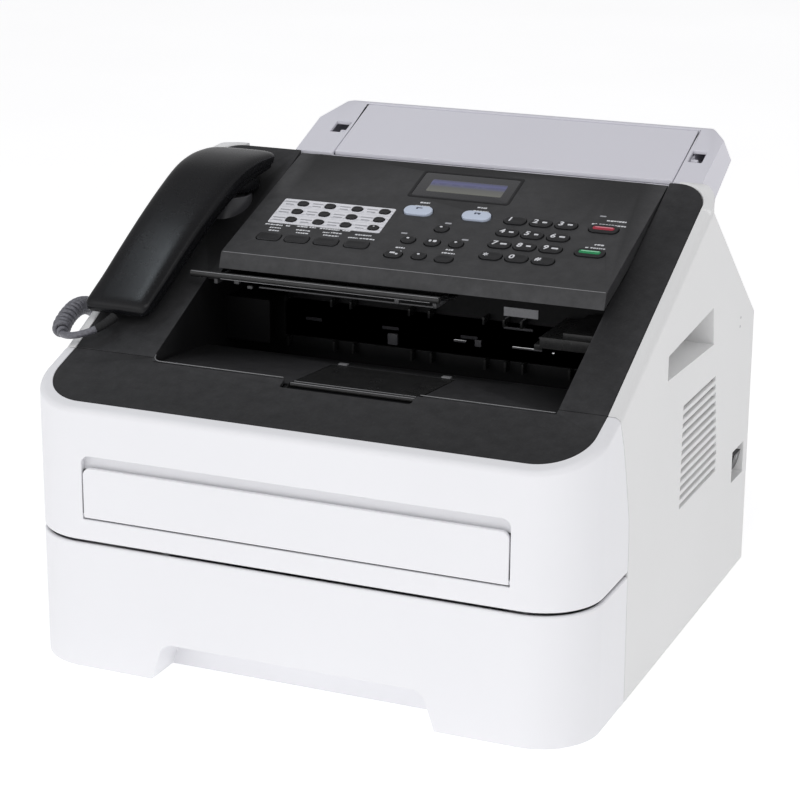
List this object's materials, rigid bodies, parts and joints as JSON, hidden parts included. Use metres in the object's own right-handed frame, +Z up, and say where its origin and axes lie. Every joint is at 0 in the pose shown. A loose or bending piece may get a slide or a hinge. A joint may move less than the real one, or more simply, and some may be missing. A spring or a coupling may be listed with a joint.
{
  "type": "fax machine",
  "caption": "Desktop laser fax machine with handset on a curly cord, control panel with keys and display, document feeder, output recess, front cover and paper tray.",
  "frame": {"origin": "centre of the footprint, on the surface that the feet stand on", "axes": "+Z up, front faces -Y, +X to the right of someone facing the front"},
  "size_m": [0.3839, 0.36, 0.311],
  "materials": {
    "white_plastic": "fine moulded texture, satin",
    "side_white_plastic": "fine moulded texture, satin",
    "feeder_plastic": "pale grey moulded texture",
    "black_plastic": "satin black with fine spark texture",
    "recess_plastic": "smooth black",
    "handset_plastic": "semi gloss black",
    "cord_plastic": "dark grey vinyl",
    "key_plastic": null,
    "mode_key_plastic": "pale blue white",
    "label_card": "white printed card with ruled lines",
    "display_glass": "glossy window over a blue grey display",
    "rubber": "matte",
    "steel": "zinc plated sheet",
    "grey_plastic": "moulded",
    "board": "solder mask",
    "roller_rubber": "ground rubber",
    "gear_plastic": "acetal"
  },
  "bodies": {
    "base": {"chassis_frame": "steel", "right_side_cover": "side_white_plastic", "left_side_cover": "side_white_plastic", "rear_cover": "side_white_plastic", "top_deck": "black_plastic", "rubber_feet": "rubber", "toner_drum_unit": "grey_plastic", "laser_unit": "grey_plastic", "fuser_unit": "grey_plastic", "gear_post": "steel", "handset_jack": "grey_plastic", "power_inlet": "grey_plastic", "document_feeder_housing": "feeder_plastic", "handset_cord": "cord_plastic"},
    "front_cover": {"front_cover": "white_plastic", "front_cover_trim": "black_plastic"},
    "manual_door": {"manual_feed_door": "white_plastic"},
    "tray": {"paper_tray": "white_plastic"},
    "lift_plate": {"tray_lift_plate": "steel"},
    "guide_left": {"paper_guide_left": "grey_plastic"},
    "guide_right": {"paper_guide_right": "grey_plastic"},
    "panel": {"panel_cover": "black_plastic", "panel_underframe": "recess_plastic", "one_touch_label": "label_card", "display_window": "display_glass", "circuit_board": "board", "document_output_support": "recess_plastic"},
    "document_lid": {"document_lid": "feeder_plastic"},
    "document_roller": {"document_feed_roller": "roller_rubber"},
    "handset": {"handset_outer_shell": "handset_plastic", "handset_inner_shell": "handset_plastic"},
    "hook": {"hook_switch": "key_plastic"},
    "output_flap": {"output_flap": "recess_plastic"},
    "rear_door": {"rear_door": "side_white_plastic"},
    "power_rocker": {"power_switch": "key_plastic"},
    "pickup": {"pickup_roller": "roller_rubber"},
    "exit": {"exit_roller": "roller_rubber"},
    "gear": {"drive_gear": "gear_plastic"},
    "key_1": {"key_1": "key_plastic"},
    "key_2": {"key_2": "key_plastic"},
    "key_3": {"key_3": "key_plastic"},
    "key_4": {"key_4": "key_plastic"},
    "key_5": {"key_5": "key_plastic"},
    "key_6": {"key_6": "key_plastic"},
    "key_7": {"key_7": "key_plastic"},
    "key_8": {"key_8": "key_plastic"},
    "key_9": {"key_9": "key_plastic"},
    "key_star": {"key_star": "key_plastic"},
    "key_0": {"key_0": "key_plastic"},
    "key_hash": {"key_hash": "key_plastic"},
    "key_stop": {"key_stop": "key_plastic"},
    "key_start": {"key_start": "key_plastic"},
    "key_mode_fax": {"key_mode_fax": "mode_key_plastic"},
    "key_mode_copy": {"key_mode_copy": "mode_key_plastic"},
    "key_ok": {"key_ok": "key_plastic"},
    "key_clear": {"key_clear": "key_plastic"},
    "key_menu": {"key_menu": "key_plastic"},
    "navigation_keys": {"navigation_keys": "key_plastic"},
    "function_keys": {"function_keys": "key_plastic"},
    "one_touch_keys": {"one_touch_keys": "key_plastic"}
  },
  "joints": [
    {"name": "front_cover_open", "type": "hinge", "parent": "base", "child": "front_cover", "pos_m": [0, -0.173, 0.094], "axis": [1, 0, 0], "range_deg": [0, 80]},
    {"name": "manual_door_open", "type": "hinge", "parent": "front_cover", "child": "manual_door", "pos_m": [0, -0.1776, 0.1025], "axis": [-1, 0, 0], "range_deg": [-80, 0]},
    {"name": "tray_slide", "type": "slide", "parent": "base", "child": "tray", "axis": [0, -1, 0], "range_m": [0, 0.25]},
    {"name": "panel_lift", "type": "hinge", "parent": "base", "child": "panel", "pos_m": [0.018, 0.0766, 0.2836], "axis": [-1, 0, 0], "range_deg": [0, 50]},
    {"name": "document_lid_open", "type": "hinge", "parent": "base", "child": "document_lid", "pos_m": [0.03, 0.1385, 0.3084], "axis": [-1, 0, 0], "range_deg": [0, 110]},
    {"name": "handset_lift", "type": "slide", "parent": "base", "child": "handset", "axis": [0, 0, 1], "range_m": [0, 0.12]},
    {"name": "output_flap_open", "type": "hinge", "parent": "base", "child": "output_flap", "pos_m": [0.0165, -0.064, 0.18045], "axis": [-1, 0, 0], "range_deg": [0, 60]},
    {"name": "rear_door_open", "type": "hinge", "parent": "base", "child": "rear_door", "pos_m": [0, 0.1785, 0.044], "axis": [-1, 0, 0], "range_deg": [0, 80]},
    {"name": "power_rocker", "type": "hinge", "parent": "base", "child": "power_rocker", "pos_m": [0.1759, 0.1505, 0.0805], "axis": [0, 1, 0], "range_deg": [-12, 0]},
    {"name": "lift_plate_up", "type": "hinge", "parent": "tray", "child": "lift_plate", "pos_m": [0, 0.12, 0.0097], "axis": [-1, 0, 0], "range_deg": [0, 8]},
    {"name": "guide_left_slide", "type": "slide", "parent": "tray", "child": "guide_left", "axis": [1, 0, 0], "range_m": [0, 0.031]},
    {"name": "guide_right_slide", "type": "slide", "parent": "tray", "child": "guide_right", "axis": [1, 0, 0], "range_m": [-0.031, 0]},
    {"name": "hook_rise", "type": "slide", "parent": "base", "child": "hook", "axis": [0, 0, 1], "range_m": [0, 0.0048]},
    {"name": "document_roller_turn", "type": "hinge", "parent": "base", "child": "document_roller", "pos_m": [0, 0.1, 0.272], "axis": [1, 0, 0], "continuous": true},
    {"name": "exit_roller_turn", "type": "hinge", "parent": "base", "child": "exit", "pos_m": [0, 0.034, 0.183], "axis": [1, 0, 0], "continuous": true},
    {"name": "pickup_roller_turn", "type": "hinge", "parent": "base", "child": "pickup", "pos_m": [0, -0.12, 0.076], "axis": [1, 0, 0], "continuous": true},
    {"name": "drive_gear_turn", "type": "hinge", "parent": "base", "child": "gear", "pos_m": [0.131, -0.06, 0.11], "axis": [1, 0, 0], "continuous": true},
    {"name": "key_1_press", "type": "slide", "parent": "panel", "child": "key_1", "axis": [0, 0.3345, -0.9424], "range_m": [0, 0.001], "stiffness_N_per_m": 250},
    {"name": "key_2_press", "type": "slide", "parent": "panel", "child": "key_2", "axis": [0, 0.3345, -0.9424], "range_m": [0, 0.001], "stiffness_N_per_m": 250},
    {"name": "key_3_press", "type": "slide", "parent": "panel", "child": "key_3", "axis": [0, 0.3345, -0.9424], "range_m": [0, 0.001], "stiffness_N_per_m": 250},
    {"name": "key_4_press", "type": "slide", "parent": "panel", "child": "key_4", "axis": [0, 0.3345, -0.9424], "range_m": [0, 0.001], "stiffness_N_per_m": 250},
    {"name": "key_5_press", "type": "slide", "parent": "panel", "child": "key_5", "axis": [0, 0.3345, -0.9424], "range_m": [0, 0.001], "stiffness_N_per_m": 250},
    {"name": "key_6_press", "type": "slide", "parent": "panel", "child": "key_6", "axis": [0, 0.3345, -0.9424], "range_m": [0, 0.001], "stiffness_N_per_m": 250},
    {"name": "key_7_press", "type": "slide", "parent": "panel", "child": "key_7", "axis": [0, 0.3345, -0.9424], "range_m": [0, 0.001], "stiffness_N_per_m": 250},
    {"name": "key_8_press", "type": "slide", "parent": "panel", "child": "key_8", "axis": [0, 0.3345, -0.9424], "range_m": [0, 0.001], "stiffness_N_per_m": 250},
    {"name": "key_9_press", "type": "slide", "parent": "panel", "child": "key_9", "axis": [0, 0.3345, -0.9424], "range_m": [0, 0.001], "stiffness_N_per_m": 250},
    {"name": "key_star_press", "type": "slide", "parent": "panel", "child": "key_star", "axis": [0, 0.3345, -0.9424], "range_m": [0, 0.001], "stiffness_N_per_m": 250},
    {"name": "key_0_press", "type": "slide", "parent": "panel", "child": "key_0", "axis": [0, 0.3345, -0.9424], "range_m": [0, 0.001], "stiffness_N_per_m": 250},
    {"name": "key_hash_press", "type": "slide", "parent": "panel", "child": "key_hash", "axis": [0, 0.3345, -0.9424], "range_m": [0, 0.001], "stiffness_N_per_m": 250},
    {"name": "key_stop_press", "type": "slide", "parent": "panel", "child": "key_stop", "axis": [0, 0.3345, -0.9424], "range_m": [0, 0.001], "stiffness_N_per_m": 250},
    {"name": "key_start_press", "type": "slide", "parent": "panel", "child": "key_start", "axis": [0, 0.3345, -0.9424], "range_m": [0, 0.001], "stiffness_N_per_m": 250},
    {"name": "key_mode_fax_press", "type": "slide", "parent": "panel", "child": "key_mode_fax", "axis": [0, 0.3345, -0.9424], "range_m": [0, 0.001], "stiffness_N_per_m": 250},
    {"name": "key_mode_copy_press", "type": "slide", "parent": "panel", "child": "key_mode_copy", "axis": [0, 0.3345, -0.9424], "range_m": [0, 0.001], "stiffness_N_per_m": 250},
    {"name": "key_ok_press", "type": "slide", "parent": "panel", "child": "key_ok", "axis": [0, 0.3345, -0.9424], "range_m": [0, 0.001], "stiffness_N_per_m": 250},
    {"name": "key_clear_press", "type": "slide", "parent": "panel", "child": "key_clear", "axis": [0, 0.3345, -0.9424], "range_m": [0, 0.001], "stiffness_N_per_m": 250},
    {"name": "key_menu_press", "type": "slide", "parent": "panel", "child": "key_menu", "axis": [0, 0.3345, -0.9424], "range_m": [0, 0.001], "stiffness_N_per_m": 250},
    {"name": "navigation_keys_press", "type": "slide", "parent": "panel", "child": "navigation_keys", "axis": [0, 0.3345, -0.9424], "range_m": [0, 0.001], "stiffness_N_per_m": 250},
    {"name": "function_keys_press", "type": "slide", "parent": "panel", "child": "function_keys", "axis": [0, 0.3345, -0.9424], "range_m": [0, 0.0006], "stiffness_N_per_m": 250},
    {"name": "one_touch_keys_press", "type": "slide", "parent": "panel", "child": "one_touch_keys", "axis": [0, 0.3345, -0.9424], "range_m": [0, 0.001], "stiffness_N_per_m": 250}
  ],
  "couplings": [
    {"joint": "guide_right_slide", "follows": "guide_left_slide", "ratio": -1},
    {"joint": "hook_rise", "follows": "handset_lift", "ratio": 0.04}
  ]
}
